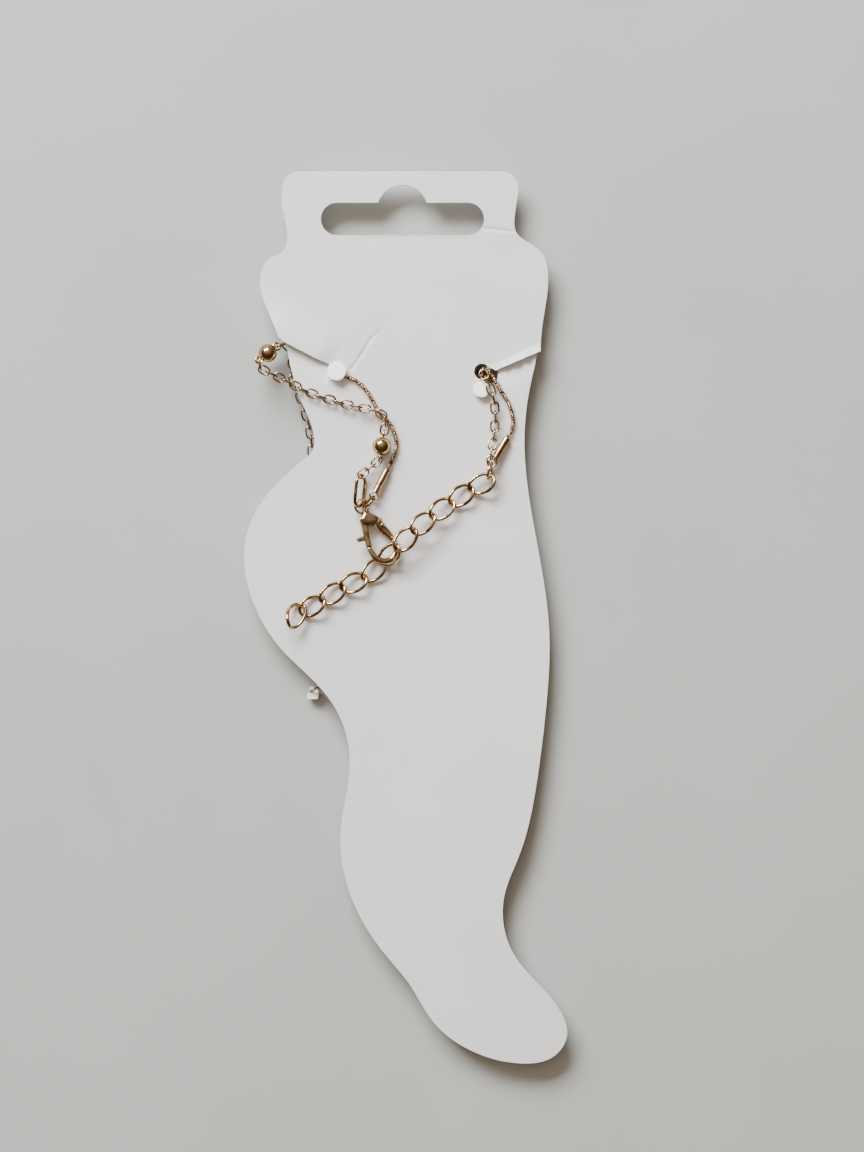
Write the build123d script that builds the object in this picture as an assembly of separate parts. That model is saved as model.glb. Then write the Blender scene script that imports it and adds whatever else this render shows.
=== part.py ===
from build123d import *
import os
from math import atan2, cos, degrees, radians, sin, sqrt, tan

# Charm anklet threaded on a foot-shaped display card, lying with the card's back up.
# Millimetres.  +Z up, +Y towards the hang slot, the floor at z = 0, the card's box centred on X and Y.

# ---- display card ----
CARD_FLOOR_GAP = 3.7                        # the card lies on the beads of the front run
CARD_THICK = 0.5
CARD_TOP = CARD_FLOOR_GAP + CARD_THICK
CARD_LENGTH = 174.9
NECK_ENDS = (Vector(0.9, 0.7), Vector(-0.3, 0.95))   # ways in which the ankle's left edge starts and ends
SLOT_LENGTH = 32.0                          # euro hang slot, with its bump
SLOT_HEIGHT = 6.4
SLOT_AT = (-0.6, 78.1)
SLOT_BUMP_DIA = 10.0
SLOT_BUMP_RISE = 1.7
PUNCH_AT = (-13.4, 48.1)                    # left hole, where the rope chain goes to the front
PUNCH_DIA = 3.4
PUNCH_2_AT = (14.9, 44.6)                   # right hole, empty
PUNCH_2_DIA = 2.7
PASS_AT = ((15.0, 48.2), (16.6, 47.3))      # two overlapping holes, where both strands come back
PASS_DIA = 3.1
LEFT_SLIT = ((-26.0, 55.7), (-14.0, 48.9), (-14.2, 48.5), (-26.0, 53.9))
RIGHT_SLIT = ((28.0, 54.0), (17.0, 48.1), (17.2, 47.7), (28.0, 52.9))

# ---- cable chain and its beads ----
LINK_WIRE = 0.28
LINK_LENGTH = 2.6
LINK_WIDTH = 1.8
BEAD_DIA = 3.4
EYE_RADIUS = 0.70                           # soldered eye on a bead, to the wire's middle
BEAD_UNIT = 4.90                            # from hooking point to hooking point
LINKS_BETWEEN_BEADS = (3, 18, 15, 15, 17, 17, 24)
SLACK = (3, 5, 6, 19, 20, 21, 22, 23, 96, 97, 98, 99)   # links drawn together in the tight bends
SLACK_PITCH = 1.60
FLOOR_RUN = BEAD_DIA / 2                    # the beads of the front run stand on the floor
LINK_LIE = CARD_TOP + LINK_WIDTH / 2 + 0.1
LONG_STRAND = (                             # from the clasp round the card's left edge to the extender
    (-8.9, 27.6, 5.9), (-7.2, 29.2, 5.8), (-5.2, 30.4, 5.95), (-4.6, 33.0, 6.0), (-4.2, 36.2, 6.0),
    (-3.5, 39.4, 6.05), (-6.8, 40.7, 5.8), (-12.2, 41.8, 5.15), (-18.5, 43.8, LINK_LIE),
    (-22.1, 45.6, LINK_LIE), (-25.8, 47.5, LINK_LIE), (-28.5, 48.6, 5.1), (-29.0, 50.6, 4.8),
    (-23.9, 54.1, 2.7), (-22.2, 52.5, 2.2), (-22.3, 49.6, 1.8), (-22.5, 47.2, FLOOR_RUN),
    (-20.3, 42.4, FLOOR_RUN), (-18.3, 34.8, FLOOR_RUN),
    (-18.9, 20.0, FLOOR_RUN), (-18.9, -2.0, FLOOR_RUN), (-17.2, -11.2, FLOOR_RUN),
    (-14.0, -15.8, FLOOR_RUN), (-8.5, -17.6, FLOOR_RUN), (-1.1, -14.2, FLOOR_RUN),
    (8.7, -0.5, FLOOR_RUN), (14.6, 15.2, FLOOR_RUN), (17.6, 31.0, FLOOR_RUN),
    (15.8, 38.5, FLOOR_RUN), (14.3, 43.5, 1.0), (14.95, 48.5, 1.0), (14.95, 48.4, 5.6),
    (17.4, 43.2, 5.5), (17.6, 38.7, LINK_LIE), (17.3, 34.8, 5.35), (16.5, 31.9, 6.3), (16.9, 29.6, 6.7))

# ---- rope chain and its end tubes ----
ROPE_DIA = 0.7
ROPE_LIE = CARD_TOP + ROPE_DIA / 2 + 0.07
SHORT_STRAND = (                            # rope chain, tube to tube
    (-3.97, 28.1, 4.97), (-2.35, 31.2, 4.66), (-1.5, 34.2, ROPE_LIE), (-2.8, 37.9, ROPE_LIE),
    (-5.6, 40.7, ROPE_LIE), (-6.6, 42.8, ROPE_LIE), (-8.3, 45.4, ROPE_LIE), (-10.2, 46.7, 4.7),
    (-12.9, 47.6, 4.7), (-12.9, 47.6, 0.4), (-13.0, 43.6, 0.4), (-14.0, 36.0, 0.4), (-15.0, 22.0, 0.4),
    (-14.2, 6.0, 0.4), (-12.2, -8.5, 0.4), (-8.0, -13.0, 0.4), (-3.6, -11.5, 0.4), (1.0, -4.0, 0.4),
    (5.6, 8.4, 0.4), (8.9, 20.1, 0.4), (12.0, 29.5, 0.4), (15.8, 36.0, 0.4), (17.9, 41.6, 0.4),
    (16.9, 47.3, 0.4), (16.9, 47.3, 4.7), (18.8, 44.2, ROPE_LIE), (20.3, 41.9, ROPE_LIE),
    (21.15, 38.9, ROPE_LIE), (20.93, 36.6, 4.70), (19.46, 34.33, 5.03))
TUBE_DIA = 1.3
TUBE_BORE = 1.0
TUBE_BORE_DEPTH = 1.1
TUBE_EYE = 0.77                             # eye at the tube's other end, to the wire's middle
TUBE_EYE_WIRE = 0.30
TUBE_EYE_JOIN = 0.15                        # how far the eye is sunk into the tube
LEFT_TUBE = ((-5.9, 24.4, 5.48), (-3.6, 28.8, 4.9))     # eye end, rope end
RIGHT_TUBE = ((17.38, 30.81, 5.55), (19.9, 35.0, 4.93))

# ---- lobster clasp, in its own plane: X from the eye to the hook, Y to the spine's side ----
CLASP_AT = (-8.5, 21.7, 5.5)                # middle of the clasp's eye
CLASP_WAY = (0.412, -0.911, 0.05)           # from the eye to the hook
CLASP_ROLL = -14.0                          # degrees; the spine's side lies lower
CLASP_EYE = 1.35                            # to the middle of its wire
CLASP_EYE_WIRE = 0.50
CLASP_THICK = 0.9                           # the hook's loop
CLASP_EDGE = 0.4                            # how much its rims are rounded
FORK_THICK = 1.9                            # the two cheeks that hold the lever
FORK_EDGE = 0.5
FORK_RADIUS = 0.98                          # the cheeks' outline is the hull of three circles
FORK_NECK = ((1.95, 0.05), 0.72)
FORK_SPINE = ((3.5, 1.4), 0.55)
FORK_ROOM = 0.07                            # round the cheeks, where the lever turns past them
LEVER_ROOT_THICK = 0.72
LEVER_ROOT_RADIUS = 0.8
LEVER_ROOT_REACH = 1.5
LEVER_ROOM = 0.16                           # what the slot between the cheeks is wider
LEVER_SHOULDER = 1.15                       # where the lever steps up to its full thickness
LEVER_THICK = 1.0
LEVER_EDGE = 0.35
LEVER_TIP = 5.45                            # the lever's length from its pin
KNOB_THICK = 0.8
KNOB_EDGE = 0.25
PIVOT = (2.7, -0.6)
PIN_DIA = 0.6
LEVER_BORE = 0.7

# ---- rings ----
JUMP_RING = dict(at=(-8.89, 24.74, 5.96), length=6.7, width=3.8, wire=0.6, heading=84, roll=61)
SIDE_RING = dict(at=(-7.2, 22.44, 5.98), radius=1.5, wire=0.5, heading=49, lean=11)
END_RING = dict(at=(16.49, 28.63, 6.06), radius=1.52, wire=0.5, heading=76, lean=-9)

# ---- extender chain ----
CURB_WIRE = 0.60
CURB_LENGTH = 6.0
CURB_WIDTH = 4.1
CURB_PITCH = 4.66
CURB_TWIST = -38.0                          # degrees that each end of a link is turned
EXTENDER_START = (17.0, 27.0, 6.0)
EXTENDER = (                                # heading, climb and roll of each link, degrees
    (204, -10, -5), (215, 3, -4), (214, 12, -3), (220, 7, 8), (226, 2, 5),
    (225, -28, 3), (221, 5, -5), (202, 0, 2), (213, -1, -1), (209, -2, 7))
LAST_LINK = dict(at=(-21.47, 0.43, 5.98), heading=243, climb=29, roll=-15)

# ---- small charm ----
CHARM_LINK = 58                             # the link that its ring goes through
CHARM_HOLE = Vector(-18.4, -14.6, 1.3)
CHARM_HOLE_DIA = 0.9
CHARM_THICK = 0.9
CHARM_TILT = 16.0                           # degrees; its far end lies lower
CHARM_RING_WIRE = 0.32

PARTS = "parts"
os.makedirs(PARTS, exist_ok=True)


def save(name, solids):
    """One STEP file for a node of one solid or many loose ones."""
    solids = solids if isinstance(solids, list) else [solids]
    shape = solids[0] if len(solids) == 1 else Compound(children=solids)
    export_step(shape, os.path.join(PARTS, name + ".step"))


# ---- wire forms ----
def round_wire(path, dia):
    """Round wire swept along a path of lines and tangent arcs."""
    section = Plane(origin=path @ 0, z_dir=path % 0) * Circle(dia / 2)
    return sweep(section, path=path)


def ring(radius, dia):
    """Closed round ring in the XY plane; radius to the wire's middle."""
    return Solid.make_torus(radius, dia / 2)


def oval_link(length, width, dia):
    """Oval link in the XY plane, long way on X: two half rings and two straights."""
    end = (width - dia) / 2
    straight = length - dia - 2 * end
    half = ring(end, dia) & Pos(end + dia, 0, 0) * Box(2 * end + 2 * dia, 2 * width, 2 * dia)
    link = Pos(straight / 2, 0, 0) * half + Pos(-straight / 2, 0, 0) * Rot(0, 0, 180) * half
    side = Rot(0, 90, 0) * Cylinder(dia / 2, straight)
    return (link + Pos(0, end, 0) * side + Pos(0, -end, 0) * side).solid()


def biarc(start, start_dir, end, end_dir):
    """Two tangent arcs from one point and direction to another."""
    span = end - start
    both = start_dir + end_dir
    a = 2 * start_dir.dot(end_dir) - 2
    b = -2 * span.dot(both)
    reach = (-b - sqrt(b * b - 4 * a * span.dot(span))) / (2 * a)
    first = start + start_dir * reach
    last = end - end_dir * reach
    middle = (first + last) * 0.5
    return [TangentArc(start, middle, tangent=start_dir), TangentArc(middle, end, tangent=last - first)]


def curb_link():
    """Twisted link, long way on X: its quarter is two arcs, turned round the three axes."""
    a = (CURB_LENGTH - CURB_WIRE) / 2
    b = (CURB_WIDTH - CURB_WIRE) / 2
    twist = radians(CURB_TWIST)
    tip_dir = Vector(0, cos(twist), sin(twist))
    side_dir = Vector(-a, 0, -b * twist).normalized()
    arcs = biarc(Vector(a, 0, 0), tip_dir, Vector(0, b, 0), side_dir)
    quarter = [round_wire(arc, CURB_WIRE) for arc in arcs]
    side = quarter[0] + quarter[1]
    half = side + Rot(0, 180, 0) * side
    return (half + Rot(180, 0, 0) * half).solid()


def bead_unit():
    """Satellite bead: a ball between two soldered eyes, the strand's way on X."""
    out = BEAD_DIA / 2 + EYE_RADIUS - 0.1
    eye = ring(EYE_RADIUS, LINK_WIRE)
    return (Sphere(BEAD_DIA / 2) + Pos(out, 0, 0) * eye + Pos(-out, 0, 0) * eye).solid()


# ---- routes ----
def route(points):
    """Straight runs joined by arcs, each as large as its two runs allow."""
    spots = [Vector(*p) for p in points]
    radii = []
    for before, here, after in zip(spots, spots[1:], spots[2:]):
        turn = radians((here - before).get_angle(after - here))
        shorter = min((here - before).length, (after - here).length)
        radii.append(0.45 * shorter / tan(turn / 2))
    return FilletPolyline(*spots, radius=radii), radii


def walk(path, steps):
    """Hooking points along a path, each one step, as the crow flies, from the last."""
    total = path.length
    at = 0.0
    spots = [path.position_at(0)]
    for step in steps:
        ahead = at + step
        for _ in range(6):
            gap = (path.position_at(min(ahead / total, 1)) - spots[-1]).length
            ahead += step - gap
        at = ahead
        spots.append(path.position_at(min(at / total, 1)))
    return spots, at


def strand_planes(spots):
    """A plane for each step of a strand: X along it, Y level, Z as near up as it goes."""
    planes = []
    side = Vector(0, 1, 0)
    for here, there in zip(spots, spots[1:]):
        along = (there - here).normalized()
        level = Vector(0, 0, 1).cross(along)
        if level.length > 0.35:
            fresh = level.normalized()
            side = fresh if fresh.dot(side) >= 0 else fresh * -1
        side = (side - along * side.dot(along)).normalized()
        planes.append(Plane(origin=(here + there) * 0.5, x_dir=along, z_dir=along.cross(side)))
    return planes


# ---- display card ----
def display_card():
    """Foot outline with a hang tab, cut by two side slits, three holes and a hang slot."""
    with BuildSketch() as outline:
        with BuildLine():
            left = Spline((-24.6, 54.6), (-27.0, 60.3), (-28.4, 64.4), (-28.2, 68.0), (-26.5, 70.4),
                          (-24.2, 71.6), (-23.2, 74.0), (-23.9, 79.0), (-24.1, 83.6))
            corner_left = ThreePointArc(left @ 1, (-23.3, 86.3), (-20.9, CARD_LENGTH / 2))
            top = Line(corner_left @ 1, (19.2, CARD_LENGTH / 2))
            corner_right = ThreePointArc(top @ 1, (21.4, 86.2), (22.1, 83.6))
            right = Spline(corner_right @ 1, (21.4, 78.9), (21.8, 75.3), (24.4, 73.3), (26.9, 71.2),
                           (27.9, 67.7), (27.3, 60.3), (26.5, 53.1))
            mouth = Line(right @ 1, (26.4, 52.2))
            Spline(mouth @ 1, (24.2, 44.2), (23.3, 34.8), (24.6, 21.1), (26.9, 8.3), (28.2, -3.4),
                   (27.7, -16.2), (25.8, -31.9), (22.2, -46.9), (19.5, -54.0), (19.1, -59.3),
                   (21.3, -66.2), (25.6, -71.4), (30.2, -76.9), (31.65, -82.0), (29.0, -86.1),
                   (22.8, -CARD_LENGTH / 2), (12.6, -84.8), (5.6, -79.5), (0.7, -71.8), (-3.8, -66.3),
                   (-8.9, -58.7), (-12.1, -49.9), (-12.6, -40.7), (-11.1, -31.5), (-11.7, -22.6),
                   (-16.0, -14.6), (-24.2, -6.4), (-29.9, 3.0), (-31.65, 12.1), (-29.7, 20.1),
                   (-24.6, 26.8), (-18.9, 31.8))
            neck = Spline((-18.9, 31.8), (-17.9, 34.4), (-20.2, 41.8), (-23.8, 53.0), tangents=NECK_ENDS)
            Line(neck @ 1, left @ 0)
        make_face()
        with Locations(SLOT_AT):
            SlotOverall(SLOT_LENGTH, SLOT_HEIGHT, mode=Mode.SUBTRACT)
        with Locations((SLOT_AT[0], SLOT_AT[1] + SLOT_BUMP_RISE)):
            Circle(SLOT_BUMP_DIA / 2, mode=Mode.SUBTRACT)
        with Locations(PUNCH_AT):
            Circle(PUNCH_DIA / 2, mode=Mode.SUBTRACT)
        with Locations(PUNCH_2_AT):
            Circle(PUNCH_2_DIA / 2, mode=Mode.SUBTRACT)
        with Locations(*PASS_AT):
            Circle(PASS_DIA / 2, mode=Mode.SUBTRACT)
        for slit in (LEFT_SLIT, RIGHT_SLIT):
            with BuildLine():
                Polyline(*slit, close=True)
            make_face(mode=Mode.SUBTRACT)
    card = extrude(outline.sketch, CARD_THICK)
    return (Pos(0, 0, CARD_FLOOR_GAP) * card).solid()


def long_strand():
    """Hooking points of the cable chain and its beads, and the pitch that fills the route."""
    path, _ = route(LONG_STRAND)
    kinds = []
    for count in LINKS_BETWEEN_BEADS:
        kinds += ["link"] * count + ["bead"]
    kinds.pop()
    count = 0
    for i, kind in enumerate(kinds):
        if kind == "link":
            count += 1
            if count in SLACK:
                kinds[i] = "slack link"
    free = kinds.count("link")
    pitch = (path.length - BEAD_UNIT * kinds.count("bead") - SLACK_PITCH * kinds.count("slack link")) / free
    for _ in range(4):
        sizes = {"link": pitch, "slack link": SLACK_PITCH, "bead": BEAD_UNIT}
        spots, end = walk(path, [sizes[kind] for kind in kinds])
        pitch += (path.length - end) / free
    return spots, kinds, pitch


def place_long_strand():
    spots, kinds, pitch = long_strand()
    planes = strand_planes(spots)
    link = oval_link(LINK_LENGTH, LINK_WIDTH, LINK_WIRE)
    bead = bead_unit()
    links, beads = [], []
    for i, (plane, kind) in enumerate(zip(planes, kinds)):
        place = plane.location * Rot(90 * (i % 2), 0, 0)
        if kind == "bead":
            beads.append(place * bead)
        else:
            links.append(place * link)
    return links, beads, planes


# ---- directions ----
def direction(heading, climb=0):
    """Unit vector by its heading from +X towards +Y and its climb, in degrees."""
    level = cos(radians(climb))
    return Vector(cos(radians(heading)) * level, sin(radians(heading)) * level, sin(radians(climb)))


def upright(way):
    """The direction nearest to up that is square to a way."""
    return (Vector(0, 0, 1) - way * way.Z).normalized()


# ---- clasp ----
def clasp_plane():
    """The clasp's own plane: X from the eye to the hook, Y to the spine's side, Z its thickness."""
    way = Vector(*CLASP_WAY).normalized()
    return Plane(origin=CLASP_AT, x_dir=way, z_dir=upright(way).rotate(Axis((0, 0, 0), way), CLASP_ROLL))


def slab(face, thick):
    """A flat shape of even thickness about the clasp's middle plane."""
    return extrude(face, thick / 2, both=True)


def softened(face, thick, edge):
    """A slab with both rims rounded."""
    form = slab(face, thick)
    rims = [e for e in form.edges() if abs(abs(e.center().Z) - thick / 2) < 0.001]
    return fillet(rims, edge)


def clasp_body():
    """Eye, neck, fork, and the hook that runs down one side and round the end."""
    with BuildSketch() as hook:
        with BuildLine():
            outer = Spline((1.6, 0.75), (3.5, 2.0), (6.2, 3.1), (9.4, 3.5), (11.4, 2.7), (12.4, 0.6),
                           (11.7, -1.4), (10.1, -2.4), (7.95, -2.62))
            nose = Line(outer @ 1, (8.22, -1.6))
            inner = Spline(nose @ 1, (10.0, -1.15), (11.1, 0.1), (11.0, 1.5), (9.6, 2.4), (7.6, 2.2),
                           (5.6, 1.6), (4.1, 1.0))
            Polyline(inner @ 1, PIVOT, outer @ 0)
        make_face()
    with BuildSketch() as fork:
        with BuildLine():
            for at, radius in ((PIVOT, FORK_RADIUS), FORK_NECK, FORK_SPINE):
                CenterArc(at, radius, 0, 360)
        make_hull()
    body = softened(hook.sketch, CLASP_THICK, CLASP_EDGE) + softened(fork.sketch, FORK_THICK, FORK_EDGE)
    body += ring(CLASP_EYE, CLASP_EYE_WIRE)
    body -= Cylinder(CLASP_EYE - CLASP_EYE_WIRE / 2, 3)
    with BuildSketch() as lever_way:
        with Locations(PIVOT):
            Circle(FORK_RADIUS + FORK_ROOM)
        with BuildLine():
            Polyline((PIVOT[0], -1.9), (5.6, -2.4), (5.6, 0.72), (3.2, 0.3), PIVOT, close=True)
        make_face()
    body -= slab(lever_way.sketch, LEVER_ROOT_THICK + LEVER_ROOM)
    with BuildSketch() as lever_room:
        with BuildLine():
            Polyline(PIVOT, (3.98, 0.78), (5.4, 0.6), (5.6, -2.9), (2.4, -2.6), close=True)
        make_face()
        with Locations(PIVOT):
            Circle(FORK_RADIUS + FORK_ROOM, mode=Mode.SUBTRACT)
    body -= slab(lever_room.sketch, FORK_THICK + 1)
    body += Pos(*PIVOT, 0) * Cylinder(PIN_DIA / 2, FORK_THICK)
    return body.solid()


def clasp_lever():
    """Curved lever with a round root on the pin, a thumb knob and a tip that meets the nose."""
    with BuildSketch() as arm:
        with BuildLine():
            back = Spline((2.4, -1.33), (4.1, -1.86), (6.27, -2.35), (8.2, -2.62))
            tip = Line(back @ 1, (8.4, -1.55))
            front = Spline(tip @ 1, (6.2, -1.15), (4.4, -0.6), (3.2, 0.0))
            Line(front @ 1, back @ 0)
        make_face()
        with Locations(PIVOT):
            Circle(LEVER_TIP, mode=Mode.INTERSECT)
    with BuildSketch() as knob:
        with BuildLine():
            Polyline((5.4, -2.0), (5.35, -3.75), (6.2, -3.65), (6.4, -2.2), close=True)
        make_face()
    with BuildSketch() as root:
        add(arm.sketch)
        with Locations(PIVOT):
            Circle(LEVER_ROOT_REACH, mode=Mode.INTERSECT)
            Circle(LEVER_ROOT_RADIUS)
    lever = softened(arm.sketch, LEVER_THICK, LEVER_EDGE)
    lever -= Pos(*PIVOT, 0) * Cylinder(LEVER_SHOULDER, LEVER_THICK + 1)
    lever += slab(root.sketch, LEVER_ROOT_THICK) + softened(knob.sketch, KNOB_THICK, KNOB_EDGE)
    lever -= Pos(*PIVOT, 0) * Cylinder(LEVER_BORE / 2, LEVER_THICK + 1)
    return lever.solid()


# ---- rings, tubes, extender, charm ----
def end_tube(eye_end, rope_end):
    """Tube bored for the rope, with a soldered eye at the other end."""
    eye_end, rope_end = Vector(*eye_end), Vector(*rope_end)
    way = (rope_end - eye_end).normalized()
    length = (rope_end - eye_end).length
    tube = Pos(length / 2, 0, 0) * Rot(0, 90, 0) * Cylinder(TUBE_DIA / 2, length)
    tube -= Pos(length, 0, 0) * Rot(0, 90, 0) * Cylinder(TUBE_BORE / 2, 2 * TUBE_BORE_DEPTH)
    tube += Pos(TUBE_EYE_JOIN - TUBE_EYE, 0, 0) * ring(TUBE_EYE, TUBE_EYE_WIRE)
    return (Plane(origin=eye_end, x_dir=way, z_dir=upright(way)).location * tube).solid()


def jump_ring():
    form = oval_link(JUMP_RING["length"], JUMP_RING["width"], JUMP_RING["wire"])
    place = Plane(origin=JUMP_RING["at"], x_dir=direction(JUMP_RING["heading"]), z_dir=(0, 0, 1)).location
    return (place * Rot(JUMP_RING["roll"], 0, 0) * form).solid()


def standing_ring(at, radius, wire, heading, lean):
    """Round ring that stands on edge along a level way, leaning over by some degrees."""
    place = Plane(origin=at, x_dir=direction(heading), z_dir=(0, 0, 1)).location
    return (place * Rot(90 + lean, 0, 0) * ring(radius, wire)).solid()


def curb_at(middle, way, roll):
    """A curb link about a middle, its long way along a direction, rolled from lying flat."""
    plane = Plane(origin=middle, x_dir=way, z_dir=upright(way))
    return (plane.location * Rot(roll, 0, 0) * curb_link()).solid()


def extender_links():
    """Curb links laid end to end by heading, climb and roll; the last hangs across the one before."""
    placed = []
    at = Vector(*EXTENDER_START)
    for heading, climb, roll in EXTENDER:
        step = direction(heading, climb) * CURB_PITCH
        placed.append(curb_at(at + step * 0.5, step.normalized(), roll))
        at = at + step
    last_way = direction(LAST_LINK["heading"], LAST_LINK["climb"])
    placed.append(curb_at(Vector(*LAST_LINK["at"]), last_way, LAST_LINK["roll"]))
    return placed


def charm(link_at):
    """Small rounded plate, hung from a round ring that stands through it and through one link."""
    span = link_at - CHARM_HOLE
    reach = span.length / 2
    middle = CHARM_HOLE + span * 0.5
    middle.Z = reach + CHARM_RING_WIRE / 2 + 0.03
    with BuildSketch() as plate:
        with BuildLine():
            Polyline((-1.1, -1.5), (-0.2, 1.1), (1.5, 0.2), (1.3, -1.5), close=True)
        make_face()
        fillet(plate.vertices(), radius=0.45)
        Circle(CHARM_HOLE_DIA / 2, mode=Mode.SUBTRACT)
    body = slab(plate.sketch, CHARM_THICK)
    body = Pos(*CHARM_HOLE) * Rot(0, -CHARM_TILT, 0) * body
    hoop = standing_ring(middle, reach, CHARM_RING_WIRE, degrees(atan2(span.Y, span.X)), 0)
    return body.solid(), hoop


# ---- the parts ----
links, beads, planes = place_long_strand()
save("display_card", display_card())
save("cable_chain", links)
for number, bead in enumerate(beads, 1):
    save(f"satellite_bead_{number}", bead)

rope_path, rope_radii = route(SHORT_STRAND)
save("rope_chain", round_wire(rope_path, ROPE_DIA))
save("end_tube_left", end_tube(*LEFT_TUBE))
save("end_tube_right", end_tube(*RIGHT_TUBE))

save("jump_ring", jump_ring())
save("side_ring", standing_ring(**SIDE_RING))
save("end_ring", standing_ring(**END_RING))
save("clasp_body", clasp_plane().location * clasp_body())
save("clasp_lever", clasp_plane().location * clasp_lever())
for number, link in enumerate(extender_links(), 1):
    save(f"extender_link_{number:02}", link)

charm_plate, charm_ring = charm(planes[CHARM_LINK].origin)
save("charm", charm_plate)
save("charm_ring", charm_ring)

print("rope route radii, mm:", [round(radius, 1) for radius in rope_radii])
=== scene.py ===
from math import cos, pi, radians, sin

import bmesh
import bpy
import numpy as np
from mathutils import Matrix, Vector


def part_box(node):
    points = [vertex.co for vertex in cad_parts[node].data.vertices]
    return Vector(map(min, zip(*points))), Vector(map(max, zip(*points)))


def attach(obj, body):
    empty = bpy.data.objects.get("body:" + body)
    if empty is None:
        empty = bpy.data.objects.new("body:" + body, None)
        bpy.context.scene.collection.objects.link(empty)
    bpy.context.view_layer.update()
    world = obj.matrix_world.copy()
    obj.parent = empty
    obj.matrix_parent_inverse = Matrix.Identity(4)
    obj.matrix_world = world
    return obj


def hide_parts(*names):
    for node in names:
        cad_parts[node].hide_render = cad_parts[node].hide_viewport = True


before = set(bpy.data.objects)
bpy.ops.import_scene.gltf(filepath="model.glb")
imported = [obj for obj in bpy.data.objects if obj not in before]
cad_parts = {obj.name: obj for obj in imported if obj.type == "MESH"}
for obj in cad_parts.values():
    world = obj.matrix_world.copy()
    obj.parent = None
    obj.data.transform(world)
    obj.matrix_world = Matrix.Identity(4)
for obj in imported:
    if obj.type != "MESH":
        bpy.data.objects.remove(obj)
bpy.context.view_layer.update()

MM = 0.001
ROOT = "anklet_and_card"
CARD_LOW, CARD_HIGH = [np.array(corner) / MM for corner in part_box("display_card")]
CARD_TOP = CARD_HIGH[2]

# All lengths and places below are in millimetres, but for the lamps' and the floor's, in metres.


# ---- camera ----
VIEW_HEIGHT = 225.8          # what the frame shows of the card's plane, top to bottom
VIEW_MIDDLE = (5.2, 8.1)
CAMERA_HEIGHT = 620.0
SENSOR = 36.0
CLIP_START = 10.0


def make_camera():
    """A camera that looks straight down, as the photo's does."""
    data = bpy.data.cameras.new("camera")
    data.sensor_width = SENSOR
    data.lens = SENSOR * (CAMERA_HEIGHT - CARD_TOP) / VIEW_HEIGHT
    data.clip_start = CLIP_START * MM
    camera = bpy.data.objects.new("camera", data)
    camera.location = (VIEW_MIDDLE[0] * MM, VIEW_MIDDLE[1] * MM, CAMERA_HEIGHT * MM)
    bpy.context.collection.objects.link(camera)
    bpy.context.scene.camera = camera


# ---- light ----
WINDOW = dict(place=(-0.38, 0.78, 0.62), size=(0.75, 0.42), power=34.0, colour=(0.94, 0.975, 1.0))
CEILING = dict(place=(-0.15, 0.10, 1.10), size=(1.3, 1.3), power=5.0, colour=(1.0, 0.80, 0.58))
ROOM_LIGHT_WAY = (-0.15, 0.62, 0.77)        # towards the room's lightest side
ROOM_STRENGTH = 0.6
ROOM_TONES = (                              # from the darkest side to the lightest
    (0.10, (0.10, 0.07, 0.045)), (0.50, (0.20, 0.15, 0.11)),
    (0.78, (0.48, 0.41, 0.33)), (1.0, (0.95, 0.90, 0.82)))


def area_light(name, place, size, power, colour, mirrored=True):
    """A soft lamp that faces the card; one that isn't mirrored doesn't show in the metal."""
    data = bpy.data.lights.new(name, "AREA")
    data.shape = "RECTANGLE"
    data.size, data.size_y = size
    data.energy = power
    data.color = colour
    light = bpy.data.objects.new(name, data)
    light.location = place
    light.rotation_euler = (-Vector(place)).to_track_quat("-Z", "Y").to_euler()
    light.visible_glossy = mirrored
    bpy.context.collection.objects.link(light)


def make_world():
    """A dim warm room, lighter towards the window, so that the metal has dark parts to mirror."""
    world = bpy.data.worlds.new("room")
    bpy.context.scene.world = world
    world.use_nodes = True
    tree = world.node_tree
    tree.nodes.clear()
    where = tree.nodes.new("ShaderNodeTexCoord")
    facing = tree.nodes.new("ShaderNodeVectorMath")
    facing.operation = "DOT_PRODUCT"
    facing.inputs[1].default_value = ROOM_LIGHT_WAY
    ramp = tree.nodes.new("ShaderNodeValToRGB")
    elements = ramp.color_ramp.elements
    for position, _ in ROOM_TONES[1:-1]:
        elements.new(position)
    for element, (position, colour) in zip(elements, ROOM_TONES):
        element.position = position
        element.color = (*colour, 1)
    back = tree.nodes.new("ShaderNodeBackground")
    back.inputs["Strength"].default_value = ROOM_STRENGTH
    out = tree.nodes.new("ShaderNodeOutputWorld")
    tree.links.new(where.outputs["Generated"], facing.inputs[0])
    tree.links.new(facing.outputs["Value"], ramp.inputs[0])
    tree.links.new(ramp.outputs[0], back.inputs[0])
    tree.links.new(back.outputs[0], out.inputs[0])


# ---- materials ----
NOISE_SPAN = (0.3, 0.7)      # where nearly all of a noise's values lie


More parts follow.
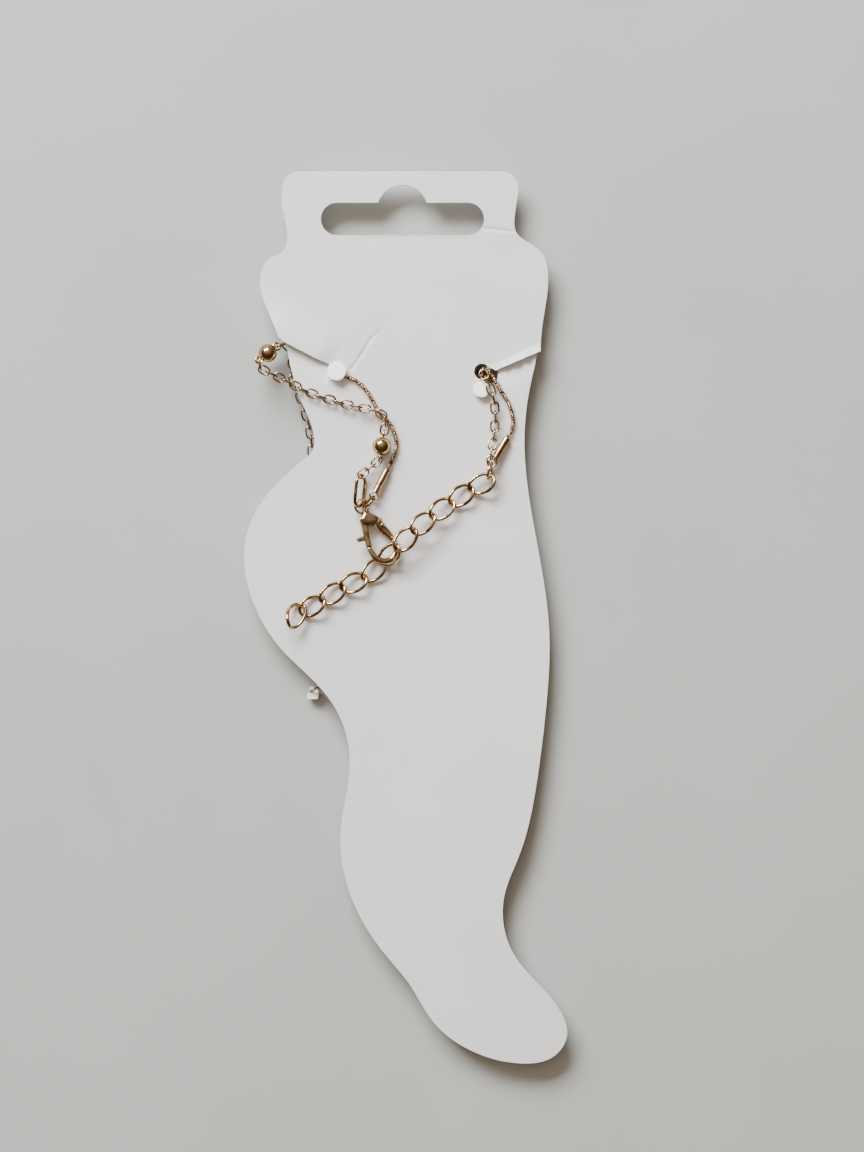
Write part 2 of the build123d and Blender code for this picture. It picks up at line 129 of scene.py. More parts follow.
class Look:
    """A principled material with short helpers for its nodes; textures count in millimetres."""

    def __init__(self, name, roughness=0.5, metallic=0.0):
        self.material = bpy.data.materials.new(name)
        self.material.use_nodes = True
        self.tree = self.material.node_tree
        self.shader = self.tree.nodes["Principled BSDF"]
        self.set("Roughness", roughness)
        self.set("Metallic", metallic)
        self.place = self.add("ShaderNodeTexCoord").outputs["Object"]

    def set(self, socket, value):
        self.shader.inputs[socket].default_value = value

    def add(self, kind):
        return self.tree.nodes.new(kind)

    def link(self, start, end):
        self.tree.links.new(start, end)

    def noise(self, per_mm, detail, stretch=(1, 1, 1), rough=0.55):
        scale = self.add("ShaderNodeMapping")
        scale.inputs["Scale"].default_value = [s / MM for s in stretch]
        self.link(self.place, scale.inputs["Vector"])
        noise = self.add("ShaderNodeTexNoise")
        noise.inputs["Scale"].default_value = per_mm
        noise.inputs["Detail"].default_value = detail
        noise.inputs["Roughness"].default_value = rough
        self.link(scale.outputs[0], noise.inputs["Vector"])
        return noise.outputs["Fac"]

    def bump(self, value, height, strength, under=None):
        node = self.add("ShaderNodeBump")
        node.inputs["Strength"].default_value = strength
        node.inputs["Distance"].default_value = height * MM
        self.link(value, node.inputs["Height"])
        if under is not None:
            self.link(under, node.inputs["Normal"])
        return node.outputs["Normal"]

    def colours(self, value, deep, pale, stops=NOISE_SPAN):
        """The surface's colour: a blend of two by a noise's value."""
        node = self.add("ShaderNodeValToRGB")
        for element, stop, colour in zip(node.color_ramp.elements, stops, (deep, pale)):
            element.position = stop
            element.color = (*colour, 1)
        self.link(value, node.inputs[0])
        self.link(node.outputs[0], self.shader.inputs["Base Color"])

    def roughness(self, value, low, high):
        """The surface's roughness, between two by a noise's value."""
        node = self.add("ShaderNodeMapRange")
        for socket, number in zip(("From Min", "From Max", "To Min", "To Max"),
                                  (*NOISE_SPAN, low, high)):
            node.inputs[socket].default_value = number
        self.link(value, node.inputs["Value"])
        self.link(node.outputs["Result"], self.shader.inputs["Roughness"])

    def normal(self, socket):
        self.link(socket, self.shader.inputs["Normal"])


# painted shade: the brown edge tint darkens the metal's rims, standing for the shadowed
# surroundings they mirror
GOLD_EDGE_SHADE = (0.42, 0.27, 0.15, 1)    # tint of the metal seen edge on
GOLD_STOPS = (0.36, 0.62)


def gold(name, deep, pale, rough, patches=0.55):
    """Plated metal: patches of warmer and paler colour, their dark end partly painted shade and
    their pale end partly painted highlight; a dark edge tint as painted shade at the rims; uneven
    polish, fine handling marks.
    """
    look = Look(name, metallic=1.0)
    look.set("Specular Tint", GOLD_EDGE_SHADE)
    # the random patches also serve as painted shade at their dark end and painted highlight at
    # their pale end, breaking the wires into dark and bright pieces
    look.colours(look.noise(patches, detail=4), deep, pale, GOLD_STOPS)
    look.roughness(look.noise(1.7, detail=5), rough * 0.75, rough * 1.5)
    marks = look.bump(look.noise(9.0, detail=6, rough=0.7), height=0.004, strength=0.5)
    look.normal(look.bump(look.noise(1.1, detail=2), height=0.02, strength=0.35, under=marks))
    return look.material


def card_stock():
    """Coated white card: faint mottle, fine fibre, a soft satin surface."""
    look = Look("card_stock")
    look.set("Specular IOR Level", 0.35)
    look.colours(look.noise(0.05, detail=5), (0.735, 0.722, 0.735), (0.775, 0.765, 0.775))
    look.roughness(look.noise(0.3, detail=4), 0.42, 0.62)
    fibre = look.bump(look.noise(3.2, detail=6, stretch=(1, 0.35, 1), rough=0.7),
                      height=0.012, strength=0.5)
    look.normal(look.bump(look.noise(0.06, detail=3), height=0.35, strength=0.35, under=fibre))
    return look.material


def disc_stock():
    """The card's bright paper core, a little fuzzy."""
    look = Look("disc_stock", roughness=0.8)
    look.colours(look.noise(1.5, detail=4), (0.93, 0.93, 0.935), (0.985, 0.985, 0.985))
    look.normal(look.bump(look.noise(4.0, detail=5), height=0.05, strength=0.7))
    return look.material


def fleck_stock():
    """Dark paper fibre."""
    look = Look("fleck_stock", roughness=0.8)
    look.colours(look.noise(6.0, detail=3), (0.10, 0.09, 0.08), (0.22, 0.20, 0.18))
    return look.material


def enamel():
    """White enamel with faint clouding."""
    look = Look("white_enamel", roughness=0.25)
    look.set("Coat Weight", 0.5)
    look.colours(look.noise(0.9, detail=4), (0.78, 0.76, 0.73), (0.9, 0.89, 0.87))
    look.normal(look.bump(look.noise(2.5, detail=3), height=0.02, strength=0.5))
    return look.material


def floor_paper():
    """Pale grey studio paper."""
    look = Look("floor_paper", roughness=0.85)
    look.colours(look.noise(0.02, detail=3), (0.42, 0.425, 0.41), (0.45, 0.455, 0.44))
    return look.material


# ---- helpers ----
def add_mesh(name, verts, faces, material):
    """A smooth mesh object from points in the scene's own unit."""
    mesh = bpy.data.meshes.new(name)
    mesh.from_pydata([tuple(v) for v in verts], [], faces)
    mesh.polygons.foreach_set("use_smooth", [True] * len(mesh.polygons))
    mesh.materials.append(material)
    mesh.update()
    obj = bpy.data.objects.new(name, mesh)
    bpy.context.collection.objects.link(obj)
    return obj


def thicken(node, by):
    """Makes a node's wire a little stouter, without moving it."""
    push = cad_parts[node].modifiers.new("stouter", "DISPLACE")
    push.strength = by * MM
    push.mid_level = 0.0
    push.direction = "NORMAL"


def dress(node, material):
    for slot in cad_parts[node].material_slots:
        slot.material = material


def mesh_points(mesh):
    points = np.empty(len(mesh.vertices) * 3)
    mesh.vertices.foreach_get("co", points)
    return points.reshape(-1, 3)


def unit(way):
    return way / np.linalg.norm(way)


def round_turn(count):
    """Evenly spread angles, once round."""
    return np.arange(count) * 2 * pi / count


def bands(rings, around):
    """The four-sided faces between rings of points that follow one another in a list."""
    faces = []
    for ring in range(rings - 1):
        for k in range(around):
            a, b = ring * around + k, ring * around + (k + 1) % around
            faces.append((a, b, b + around, a + around))
    return faces


LINE_SLACK = 0.02            # what still counts as on a line, times the line's length


def near_line(x, y, start, end):
    """Distance from a segment, and how far along it, for arrays of points."""
    start, end = np.array(start), np.array(end)
    way = end - start
    along = ((x - start[0]) * way[0] + (y - start[1]) * way[1]) / (way @ way)
    inside = np.clip(along, 0, 1)
    return np.hypot(x - start[0] - inside * way[0], y - start[1] - inside * way[1]), along


def above_line(x, y, start, end):
    """True on the upper side of a line and on the line itself, for arrays of points."""
    way_x, way_y = end[0] - start[0], end[1] - start[1]
    side = way_x * (y - start[1]) - way_y * (x - start[0])
    return side * np.sign(way_x) > -LINE_SLACK


def hill(away, reach):
    """1 at a place, falling off smoothly over a reach."""
    return np.exp(-(away / reach) ** 2)


# ---- the card: a sheet that bends, creases and opens at its two slits ----
WIDE_STEP = 2.4
FINE_STEP = 0.8
FINE_ROWS = (43.0, 80.0)     # where creases and slits need a closer mesh
FINE_BEYOND = 1.0
SLIT_STEP = 0.3
SLIT_BELOW = 0.6
CREASE_STEP = 0.25
CREASE_BOX = ((-11.5, 48.0), (-4.0, 57.0))
CREASE_CUT = (1.0, -0.7)     # way across which the mesh by the left creases is cut
SHARP_EDGE = 40              # degrees
LEFT_LIP = ((-25.6, 55.5), (-14.0, 48.9))       # upper edge of each slit, from its mouth to its tip
RIGHT_LIP = ((28.0, 54.0), (17.0, 48.1))
LEFT_UNDER = ((-26.0, 53.9), (-14.2, 48.5))     # lower edge of each slit
RIGHT_UNDER = ((28.0, 52.9), (17.2, 47.7))
LEFT_FINE_HEIGHT = 3.5
RIGHT_FINE_HEIGHT = 2.2
CREASES = (                  # start, end, depth, half width
    ((-10.7, 48.5), (-8.4, 51.8), 0.20, 0.30), ((-8.4, 51.8), (-6.8, 54.6), 0.16, 0.30),
    ((-6.8, 54.6), (-4.8, 56.2), 0.10, 0.30),
    ((15.0, 77.1), (15.8, 76.2), 0.14, 0.35), ((15.8, 76.2), (20.9, 75.6), 0.16, 0.35),
    ((-8.0, 74.2), (12.0, 73.9), 0.09, 0.8))
FLAP_REACH = 4.5             # the left slit's upper side stands up as a flap
FLAP_FADE = 0.35             # share of the slit over which it rises from the tip
FLAP_RISE = (0.55, 0.75)     # at the tip, and what the mouth adds
FLAP_SLIDE = (0.35, 0.25)
TUCK_REACH = 2.6             # each slit's lower side is tucked under
TUCK_FADE = 0.05
TUCK_DROP = 0.42
TUCK_SLIDE = 0.45
LEFT_TUCK_MOUTH = 2.1        # how far the mouth slides beyond that
RIGHT_TUCK_MOUTH = 0.9
CURL_WIDTH = 1.3             # the right slit's upper edge is curled up
CURL_RISE = 0.95
CURL_SPAN = (0.04, 0.89)     # share of a half wave at the tip, and what the mouth adds
CRINKLE = (0.36, 33)         # height and waves
CURL_SLIDE = 1.2
CURL_SLIDE_REACH = 3.0


def card_shape(x, y):
    """How far the sheet moves in Y and in Z from its flat shape."""
    lift = -0.07 - 0.05 * np.sin(0.05 * y + 0.9) - 0.03 * np.sin(0.11 * x + 0.03 * y)   # long waves
    for start, end, depth, width in CREASES:
        away, _ = near_line(x, y, start, end)
        lift -= depth * hill(away, width)
    slide = np.zeros_like(x)

    away, along = near_line(x, y, *LEFT_LIP)
    mouth = np.clip(1.0 - along, 0, 1)
    above_left = above_line(x, y, *LEFT_LIP)
    fade = np.clip(mouth / FLAP_FADE, 0, 1)
    flap = np.where(above_left, hill(away, FLAP_REACH) * fade * fade * (3 - 2 * fade), 0)
    lift += flap * (FLAP_RISE[0] + FLAP_RISE[1] * np.sqrt(mouth))
    slide -= flap * (FLAP_SLIDE[0] + FLAP_SLIDE[1] * mouth)

    above_right = above_line(x, y, *RIGHT_LIP)
    for under, above, mouth_slide in ((LEFT_UNDER, above_left, LEFT_TUCK_MOUTH),
                                      (RIGHT_UNDER, above_right, RIGHT_TUCK_MOUTH)):
        away, along = near_line(x, y, *under)
        mouth = np.clip(1.0 - along, 0, 1)
        tuck = np.where(above, 0, hill(away, TUCK_REACH) * np.clip(mouth / TUCK_FADE, 0, 1))
        lift -= TUCK_DROP * tuck
        slide += tuck * (TUCK_SLIDE + mouth_slide * mouth)

    away, along = near_line(x, y, *RIGHT_LIP)
    mouth = np.clip(1.0 - along, 0, 1)
    swell = np.sin(pi * np.clip(CURL_SPAN[0] + CURL_SPAN[1] * mouth, 0, 1))
    swell *= 1 + CRINKLE[0] * np.sin(CRINKLE[1] * mouth)
    lift += CURL_RISE * np.where(above_right, swell * np.clip(1 - away / CURL_WIDTH, 0, 1), 0)
    slide -= np.where(above_right, CURL_SLIDE * mouth * hill(away, CURL_SLIDE_REACH), 0)
    return slide, lift


def cut_rows(bm, way, step, box=None):
    """Cuts the sheet by parallel upright planes, a step apart along a way, all or in a box."""
    way = np.array(way) / np.hypot(*way)
    low, high = box if box else (CARD_LOW[:2], CARD_HIGH[:2])
    ends = [np.array((x, y)) @ way for x in (low[0], high[0]) for y in (low[1], high[1])]
    for far in np.arange(min(ends) + step / 2, max(ends), step):
        faces = bm.faces[:]
        if box:
            middles = np.array([f.calc_center_median()[:2] for f in faces]) / MM
            held = np.all((middles > low) & (middles < high), axis=1)
            faces = [faces[k] for k in np.flatnonzero(held)]
        verts = list({v for f in faces for v in f.verts})
        edges = list({e for f in faces for e in f.edges})
        bmesh.ops.bisect_plane(bm, geom=verts + edges + faces, dist=1e-7,
                               plane_co=(way[0] * far * MM, way[1] * far * MM, 0),
                               plane_no=(*way, 0))


def make_card(material):
    """The card's own outline, cut into a grid so that it can take its shape."""
    bm = bmesh.new()
    bm.from_mesh(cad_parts["display_card"].data)
    bmesh.ops.remove_doubles(bm, verts=bm.verts, dist=1e-6)
    fine = ((CARD_LOW[0] - FINE_BEYOND, FINE_ROWS[0]), (CARD_HIGH[0] + FINE_BEYOND, FINE_ROWS[1]))
    for step, box in ((WIDE_STEP, None), (FINE_STEP, fine)):
        cut_rows(bm, (0, 1), step, box)
        cut_rows(bm, (1, 0), step, box)
    for (start, end), height in ((LEFT_LIP, LEFT_FINE_HEIGHT), (RIGHT_LIP, RIGHT_FINE_HEIGHT)):
        box = ((min(start[0], end[0]) - SLIT_BELOW, end[1] - SLIT_BELOW),
               (max(start[0], end[0]) + SLIT_BELOW, start[1] + height))
        cut_rows(bm, (start[1] - end[1], end[0] - start[0]), SLIT_STEP, box)
    cut_rows(bm, CREASE_CUT, CREASE_STEP, CREASE_BOX)
    for edge in bm.edges:
        if len(edge.link_faces) == 2 and edge.calc_face_angle() > radians(SHARP_EDGE):
            edge.smooth = False
    for face in bm.faces:
        face.smooth = True
    mesh = bpy.data.meshes.new("card_sheet")
    bm.to_mesh(mesh)
    bm.free()
    points = mesh_points(mesh)
    slide, lift = card_shape(points[:, 0] / MM, points[:, 1] / MM)
    points[:, 1] += slide * MM
    points[:, 2] += lift * MM
    mesh.vertices.foreach_set("co", points.ravel())
    mesh.materials.clear()
    mesh.materials.append(material)
    mesh.update()
    card = bpy.data.objects.new("card_sheet", mesh)
    bpy.context.collection.objects.link(card)
    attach(card, ROOT)
    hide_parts("display_card")


# ---- rope chain ----
LIE = CARD_TOP + 0.56        # height of its middle on the card, and under it
LOW = 0.61
ROPE_ROUTE = (
    (-3.97, 28.1, 4.97), (-2.35, 31.2, 4.66), (-1.5, 34.2, LIE), (-2.8, 37.9, LIE),
    (-5.6, 40.7, LIE), (-6.6, 42.8, LIE), (-8.3, 45.4, LIE), (-10.2, 46.7, 4.7),
    (-12.9, 47.6, 4.7), (-12.9, 47.6, LOW), (-13.0, 43.6, LOW), (-14.0, 36.0, LOW),
    (-15.0, 22.0, LOW), (-14.2, 6.0, LOW), (-12.2, -8.5, LOW), (-8.0, -13.0, LOW),
    (-3.6, -11.5, LOW), (1.0, -4.0, LOW), (5.6, 8.4, LOW), (8.9, 20.1, LOW),
    (12.0, 29.5, LOW), (15.8, 36.0, LOW), (17.9, 41.6, LOW), (17.6, 46.6, LOW),
    (16.2, 49.3, 2.0), (15.9, 49.0, 4.3), (17.3, 46.7, 5.0), (18.8, 44.2, LIE),
    (20.3, 41.9, LIE), (21.15, 38.9, LIE), (20.93, 36.6, 4.70), (19.46, 34.33, 5.03))
ROPE_OVAL = (0.47, 0.28)     # half the length and width of each small ring, to its wire's middle
ROPE_WIRE = 0.21
ROPE_PITCH = 0.33
ROPE_LEAN = 35.0             # degrees that each small ring leans from square to the rope
ROPE_TURN = 61.0             # degrees from one small ring to the next, round the rope


def smooth_route(name, points):
    """Points along the route's smooth line, as Blender's own spline gives them."""
    data = bpy.data.curves.new(name, "CURVE")
    data.dimensions = "3D"
    spline = data.splines.new("NURBS")
    spline.points.add(len(points) - 1)
    for point, place in zip(spline.points, points):
        point.co = (*(Vector(place) * MM), 1)
    spline.order_u = 3
    spline.use_endpoint_u = True
    data.resolution_u = 24
    obj = bpy.data.objects.new(name, data)
    bpy.context.collection.objects.link(obj)
    mesh = bpy.data.meshes.new_from_object(obj)
    line = np.array([v.co for v in mesh.vertices])
    bpy.data.objects.remove(obj)
    bpy.data.meshes.remove(mesh)
    return line


def evenly(line, pitch):
    """Points a pitch apart along a line, with the line's direction at each."""
    steps = np.linalg.norm(np.diff(line, axis=0), axis=1)
    line = line[np.concatenate(([True], steps > 1e-9))]
    far = np.concatenate(([0], np.cumsum(np.linalg.norm(np.diff(line, axis=0), axis=1))))
    count = int(far[-1] / pitch)
    at = (np.arange(count) + 0.5) * far[-1] / count
    spots = np.stack([np.interp(at, far, line[:, k]) for k in range(3)], axis=1)
    ways = np.gradient(spots, axis=0)
    return spots, ways / np.linalg.norm(ways, axis=1)[:, None]


def oval_mesh(half, wire, around, sides):
    """An oval wire ring in its own XY plane: points and faces."""
    turn, tube = round_turn(around), round_turn(sides)
    line = np.stack([half[0] * np.cos(turn), half[1] * np.sin(turn)], axis=1)
    out = np.stack([half[1] * np.cos(turn), half[0] * np.sin(turn)], axis=1)
    out /= np.linalg.norm(out, axis=1)[:, None]
    flat = line[:, None, :] + out[:, None, :] * (wire / 2 * np.cos(tube))[None, :, None]
    height = np.broadcast_to(wire / 2 * np.sin(tube), (around, sides))[:, :, None]
    points = np.concatenate([flat, height], axis=2).reshape(-1, 3)
    faces = []
    for i in range(around):
        for j in range(sides):
            a, b = i * sides, (i + 1) % around * sides
            k = (j + 1) % sides
            faces.append((a + j, b + j, b + k, a + k))
    return points, faces


def make_rope(material):
    """Small leaning rings strung close along the route, each turned a step from the last."""
    spots, ways = evenly(smooth_route("rope_line", ROPE_ROUTE), ROPE_PITCH * MM)
    ring, ring_faces = oval_mesh(np.array(ROPE_OVAL) * MM, ROPE_WIRE * MM, around=12, sides=6)
    lean = radians(ROPE_LEAN)
    verts, faces = [], []
    side = np.array((0.0, 0.0, 1.0))
    for i, (spot, way) in enumerate(zip(spots, ways)):
        side = unit(side - way * (side @ way))
        turn = radians(ROPE_TURN) * i
        across = cos(turn) * side + sin(turn) * np.cross(way, side)
        base = np.array((cos(lean) * across - sin(lean) * way, np.cross(way, across),
                         cos(lean) * way + sin(lean) * across))
        faces += [tuple(i * len(ring) + k for k in face) for face in ring_faces]
        verts.append(ring @ base + spot)
    rope = add_mesh("rope_links", np.concatenate(verts), faces, material)
    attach(rope, ROOT)
    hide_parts("rope_chain")


# ---- punched-out discs by their holes ----
DISC_THICK = 0.32
DISC_CROWN = 1.22            # height of the middle, in thicknesses
DISC_PROFILE = (             # share of the radius, share of the thickness
    (0.96, 0), (1.0, 0.3), (1.0, 0.7), (0.95, 1.0), (0.7, 1.12), (0.35, 1.2))


def make_disc(name, centre, radius, tilt, material):
    """A thin crowned disc with a slightly ragged rim; tilt is its slope along X and Y."""
    around = 40
    verts = []
    for out, up in DISC_PROFILE:
        for k in range(around):
            angle = 2 * pi * k / around
            ragged = 1 + 0.02 * sin(5 * angle + 1) + 0.015 * sin(11 * angle)
            x, y = radius * out * ragged * cos(angle), radius * out * ragged * sin(angle)
            verts.append((x, y, up * DISC_THICK + tilt[0] * x + tilt[1] * y))
    verts.append((0, 0, DISC_CROWN * DISC_THICK))
    last = (len(DISC_PROFILE) - 1) * around
    faces = [tuple(reversed(range(around)))] + bands(len(DISC_PROFILE), around)
    faces += [(last + k, last + (k + 1) % around, len(verts) - 1) for k in range(around)]
    disc = add_mesh(name, (np.array(verts) + centre) * MM, faces, material)
    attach(disc, ROOT)


# ---- cut wire ends at the seams of the extender's links ----
SEAMS = (                    # link, and way from its middle in degrees
    (2, 155), (3, 157), (4, 151), (5, 165), (8, 97), (9, 76), (10, 68))
SEAM_LENGTH = 0.55
SEAM_RADIUS = 0.24
SEAM_SUNK = 0.3
SEAM_RISE = 0.35             # upward slope of the spur
SEAM_LEAN = 0.35             # its sideways slope
SEAM_FLAT = 0.8              # its height over its width
SEAM_PROFILE = ((0, 1.0), (0.45, 0.95), (0.8, 0.8), (1.0, 0.55))   # along, share of the radius


def make_seam(number, heading, material):
    """A short tapered spur of wire that stands off a link where its two ends meet."""
    spots = mesh_points(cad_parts[f"extender_link_{number:02}"].data) / MM
    middle = (spots.min(axis=0) + spots.max(axis=0)) / 2
    way = unit(np.array((cos(radians(heading)), sin(radians(heading)), SEAM_RISE)))
    root = spots[np.argmax((spots - middle) @ way)] - way * SEAM_SUNK
    side = unit(np.cross(way, (0, 0, 1)))
    other = np.cross(side, way)
    lean = side * SEAM_LEAN
    around = 10
    verts = []
    for along, out in SEAM_PROFILE:
        for k in range(around):
            angle = 2 * pi * k / around
            edge = (cos(angle) * side + sin(angle) * other * SEAM_FLAT) * SEAM_RADIUS * out
            verts.append((root + (way + lean * along) * along * SEAM_LENGTH + edge) * MM)
    faces = bands(len(SEAM_PROFILE), around)
    faces += [tuple(range(len(verts) - around, len(verts))), tuple(reversed(range(around)))]
    spur = add_mesh(f"seam_{number:02}", verts, faces, material)
    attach(spur, ROOT)


# ---- the clasp's cast body, in the solid clasp's own plane ----
CLASP_AT = np.array((-8.5, 21.7, 5.5))       # middle of the clasp's eye
CLASP_WAY = np.array((0.412, -0.911, 0.05))  # from the eye to the hook
CLASP_ROLL = -14.0                           # degrees
EYE_RADIUS = 1.35
EYE_WIRE = 0.50
PIN_AT = (2.7, -0.6)
PIN_RADIUS = 0.3
PIN_HALF = 0.7
SLOT_HALF = 0.55                             # half the slot between the cheeks
CHEEK_RISES = (0, 14, 28, 42, 56, 70, 82)    # degrees, from the slot to a cheek's top
CHEEK = (                                    # a cheek's lobes: place, radius and height
    (2.7, -0.6, 0.95, 1.02), (1.9, 0.05, 0.70, 0.84), (3.4, 1.45, 0.6, 0.98),
    (4.15, 0.85, 0.35, 0.78))
HOOK = (                                     # outer edge, inner edge, thickness, nose to neck
    ((8.10, -2.58), (8.32, -1.62), 0.80), ((9.1, -2.60), (9.15, -1.42), 0.98),
    ((10.2, -2.38), (9.95, -1.16), 1.05), ((11.5, -1.60), (10.75, -0.60), 1.10),
    ((12.25, -0.4), (11.12, 0.05), 1.05), ((12.36, 0.9), (11.2, 0.9), 0.95),
    ((11.55, 2.5), (10.8, 1.7), 0.98), ((10.3, 3.35), (9.9, 2.25), 1.10),
    ((8.6, 3.55), (8.5, 2.30), 1.20), ((6.8, 3.28), (7.2, 1.80), 1.30),
    ((5.4, 2.85), (6.1, 1.15), 1.45), ((4.4, 2.4), (5.2, 0.82), 1.65),
    ((3.4, 1.95), (4.40, 0.74), 1.80), ((2.5, 1.4), (3.3, 0.56), 1.75),
    ((1.9, 0.95), (2.2, 0.50), 1.3))
JOINTS = (                                   # swellings: place, radius and half thickness
    (1.5, 0.4, 0.52, 0.62), (0.95, 0.55, 0.45, 0.50), (4.1, 1.8, 0.85, 1.0),
    (5.0, 2.0, 0.75, 0.92))
CAST_VOXEL = 0.06
CAST_ROUNDS = 10


def smooth_rows(rows, steps):
    """More rows between the given ones, on a Catmull-Rom curve through them."""
    rows = np.array(rows)
    ends = np.concatenate(([2 * rows[0] - rows[1]], rows, [2 * rows[-1] - rows[-2]]))
    out = []
    for a, b, c, d in zip(ends, ends[1:], ends[2:], ends[3:]):
        for t in np.arange(steps) / steps:
            out.append(0.5 * (2 * b + (c - a) * t + (2 * a - 5 * b + 4 * c - d) * t ** 2
                              + (3 * b - a - 3 * c + d) * t ** 3))
    return np.array(out + [rows[-1]])


def rings_form(rings):
    """A closed form from rings of equal count, its two ends capped."""
    around = len(rings[0])
    verts = [tuple(p) for loop in rings for p in loop]
    ends = tuple(reversed(range(around))), tuple(range(len(verts) - around, len(verts)))
    return verts, [ends[0], *bands(len(rings), around), ends[1]]


def bar_form(stations, steps=6, around=20):
    """A closed bar through oval sections, each two edge points and a thickness, its ends domed."""
    rows = smooth_rows([(*outer, *inner, thick) for outer, inner, thick in stations], steps)
    middles, halves = (rows[:, :2] + rows[:, 2:4]) / 2, (rows[:, :2] - rows[:, 2:4]) / 2
    turn = round_turn(around)

    def loop(middle, half, thick, size=1.0):
        flat = middle + np.outer(np.cos(turn), half) * size
        return np.column_stack((flat, np.sin(turn) * thick / 2 * size))

    def dome(at, before):
        out = unit(middles[at] - middles[before]) * np.linalg.norm(halves[at]) * 0.5
        return [loop(middles[at] + out * sin(a), halves[at], rows[at, 4], cos(a))
                for a in (0.5, 0.95, 1.35)]

    rings = [loop(*row) for row in zip(middles, halves, rows[:, 4])]
    return rings_form(dome(0, 1)[::-1] + rings + dome(-1, -2))


def hull_form(points):
    """The convex hull of some points."""
    bm = bmesh.new()
    for point in points:
        bm.verts.new(point)
    hull = bmesh.ops.convex_hull(bm, input=bm.verts)
    inside = [e for e in hull["geom_interior"] if isinstance(e, bmesh.types.BMVert)]
    bmesh.ops.delete(bm, geom=inside, context="VERTS")
    bm.verts.index_update()
    form = [tuple(v.co) for v in bm.verts], [tuple(v.index for v in f.verts) for f in bm.faces]
    bm.free()
    return form


def cheek_form(side):
    """One cheek of the fork: a pillow over its lobes, flat towards the slot."""
    points = []
    for x, y, radius, top in CHEEK:
        for rise in np.radians(CHEEK_RISES):
            height = SLOT_HALF + (top - SLOT_HALF) * sin(rise)
            for turn in round_turn(28):
                reach = radius * (0.25 + 0.75 * cos(rise))
                points.append((x + reach * cos(turn), y + reach * sin(turn), side * height))
    return hull_form(points)


def blob_form(x, y, radius, half):
    """A flattened ball."""
    return hull_form([(x + radius * cos(turn) * cos(rise), y + radius * sin(turn) * cos(rise),
                       half * sin(rise)) for rise in np.radians(np.arange(-80, 81, 16))
                      for turn in round_turn(20)])


def eye_form():
    points, faces = oval_mesh((EYE_RADIUS, EYE_RADIUS), EYE_WIRE, around=48, sides=12)
    return [tuple(p) for p in points], faces


def pin_form():
    return rings_form([[(PIN_AT[0] + PIN_RADIUS * cos(a), PIN_AT[1] + PIN_RADIUS * sin(a), z)
                        for a in round_turn(16)] for z in (-PIN_HALF, PIN_HALF)])


def skin_over(forms, material):
    """Closed forms joined into one skin, softened where they meet: its points and faces."""
    verts, faces = [], []
    for points, sides in forms:
        faces += [tuple(k + len(verts) for k in side) for side in sides]
        verts += points
    rough = add_mesh("clasp_cast_forms", verts, faces, material)
    skin = rough.modifiers.new("skin", "REMESH")
    skin.mode = "VOXEL"
    skin.voxel_size = CAST_VOXEL
    soft = rough.modifiers.new("soft", "SMOOTH")
    soft.factor = 0.5
    soft.iterations = CAST_ROUNDS
    shown = rough.evaluated_get(bpy.context.evaluated_depsgraph_get())
    mesh = bpy.data.meshes.new_from_object(shown)
    points = np.array([v.co for v in mesh.vertices])
    sides = [tuple(p.vertices) for p in mesh.polygons]
    bpy.data.objects.remove(rough)
    bpy.data.meshes.remove(mesh)
    return points, sides


def make_clasp(material):
    """The hook, the fork's two cheeks, the eye and the lever's pin, as one casting."""
    forms = [bar_form(HOOK), cheek_form(1), cheek_form(-1), eye_form(), pin_form()]
    forms += [blob_form(*joint) for joint in JOINTS]
    points, faces = skin_over(forms, material)
    way = unit(CLASP_WAY)
    up = unit(np.array((0, 0, 1)) - way * way[2])
    roll = radians(CLASP_ROLL)
    normal = up * cos(roll) + np.cross(way, up) * sin(roll)
    base = np.array((way, np.cross(normal, way), normal))
    clasp = add_mesh("clasp_cast", (points @ base + CLASP_AT) * MM, faces, material)
    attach(clasp, ROOT)
    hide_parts("clasp_body")


# ---- flecks in the card's surface ----
FLECK_PROUD = 0.04
FLECK_SUNK = 0.02


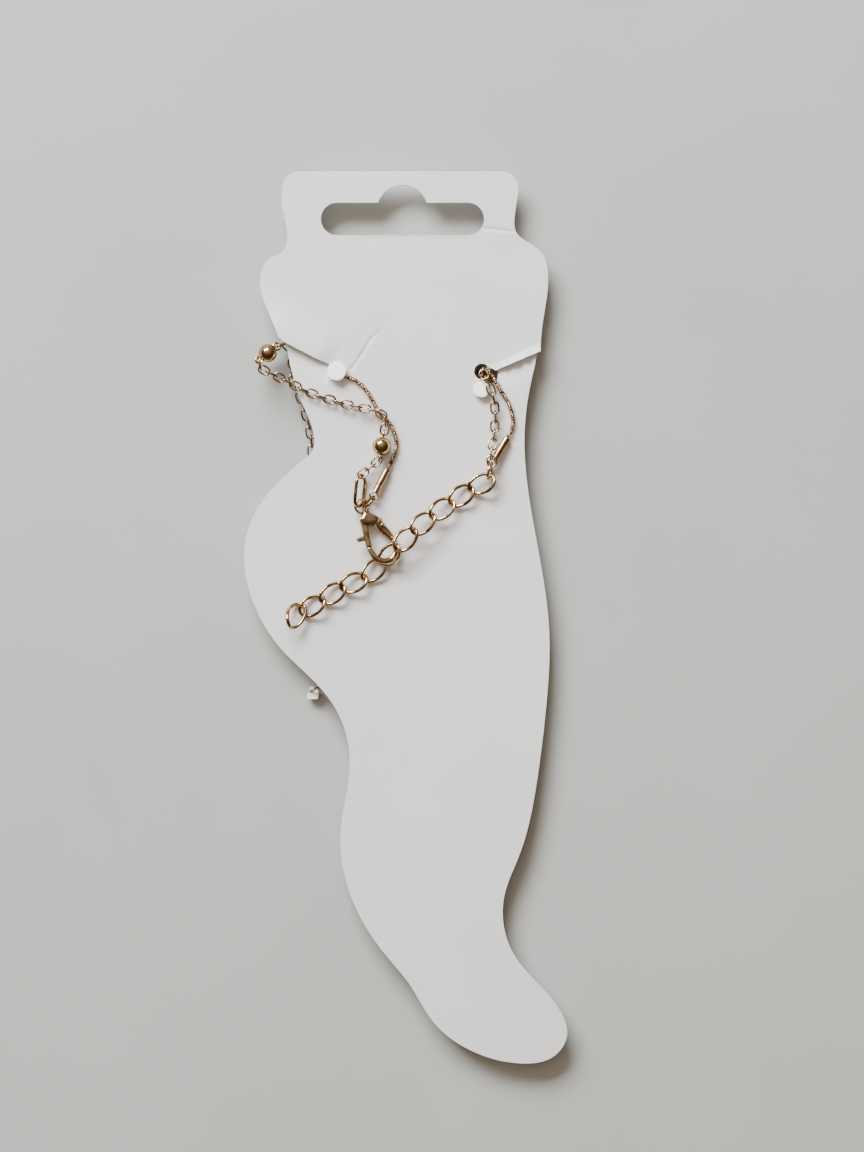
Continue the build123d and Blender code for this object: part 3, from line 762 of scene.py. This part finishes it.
def make_fleck(name, x, y, size, material):
    """A tiny dark fibre, standing just proud of the card."""
    around = 9
    _, lift = card_shape(np.array((x,)), np.array((y,)))
    z = CARD_TOP + lift[0]
    verts = [(x, y, z + FLECK_PROUD)]
    for k in range(around):
        angle = 2 * pi * k / around
        out = size * (1 + 0.35 * sin(3 * angle + x))
        verts.append((x + out * cos(angle), y + 0.7 * out * sin(angle), z - FLECK_SUNK))
    faces = [(0, k + 1, (k + 1) % around + 1) for k in range(around)]
    fleck = add_mesh(name, np.array(verts) * MM, faces, material)
    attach(fleck, ROOT)


# ---- floor ----
def make_floor():
    corners = [(-1, -1, 0), (1, -1, 0), (1, 1, 0), (-1, 1, 0)]
    floor = add_mesh("floor", corners, [(0, 1, 2, 3)], floor_paper())


# ---- the scene ----
WIRE_STOUTER = 0.045
BEAD_STOUTER = 0.07

make_camera()
make_world()
area_light("window", **WINDOW)
area_light("ceiling", **CEILING, mirrored=False)
make_floor()

chain_gold = gold("chain_gold", (0.20, 0.115, 0.055), (0.66, 0.47, 0.27), 0.18, patches=0.9)
clasp_gold = gold("clasp_gold", (0.34, 0.205, 0.10), (0.78, 0.57, 0.34), 0.15, patches=0.6)
bead_gold = gold("bead_gold", (0.58, 0.37, 0.17), (0.80, 0.57, 0.31), 0.10)
card_material = card_stock()
disc_material = disc_stock()
make_card(card_material)
make_rope(chain_gold)
make_clasp(clasp_gold)
make_disc("disc_left", (-13.45, 48.2, 4.85), 1.9, (0.18, -0.28), disc_material)
make_disc("disc_right", (14.9, 44.6, 4.7), 1.6, (0.10, -0.26), disc_material)
for number, heading in SEAMS:
    make_seam(number, heading, clasp_gold)
fleck_material = fleck_stock()
make_fleck("fleck_1", 6.9, 46.7, 0.22, fleck_material)
make_fleck("fleck_2", -12.5, 58.9, 0.12, fleck_material)

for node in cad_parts:
    if node.startswith("satellite_bead"):
        dress(node, bead_gold)
        thicken(node, BEAD_STOUTER)
    elif node.startswith(("clasp", "extender", "end")):
        dress(node, clasp_gold)
    elif node not in ("display_card", "rope_chain", "charm"):
        dress(node, chain_gold)
    if node.startswith(("cable", "extender", "jump", "side", "end")):
        thicken(node, WIRE_STOUTER)
dress("charm", enamel())
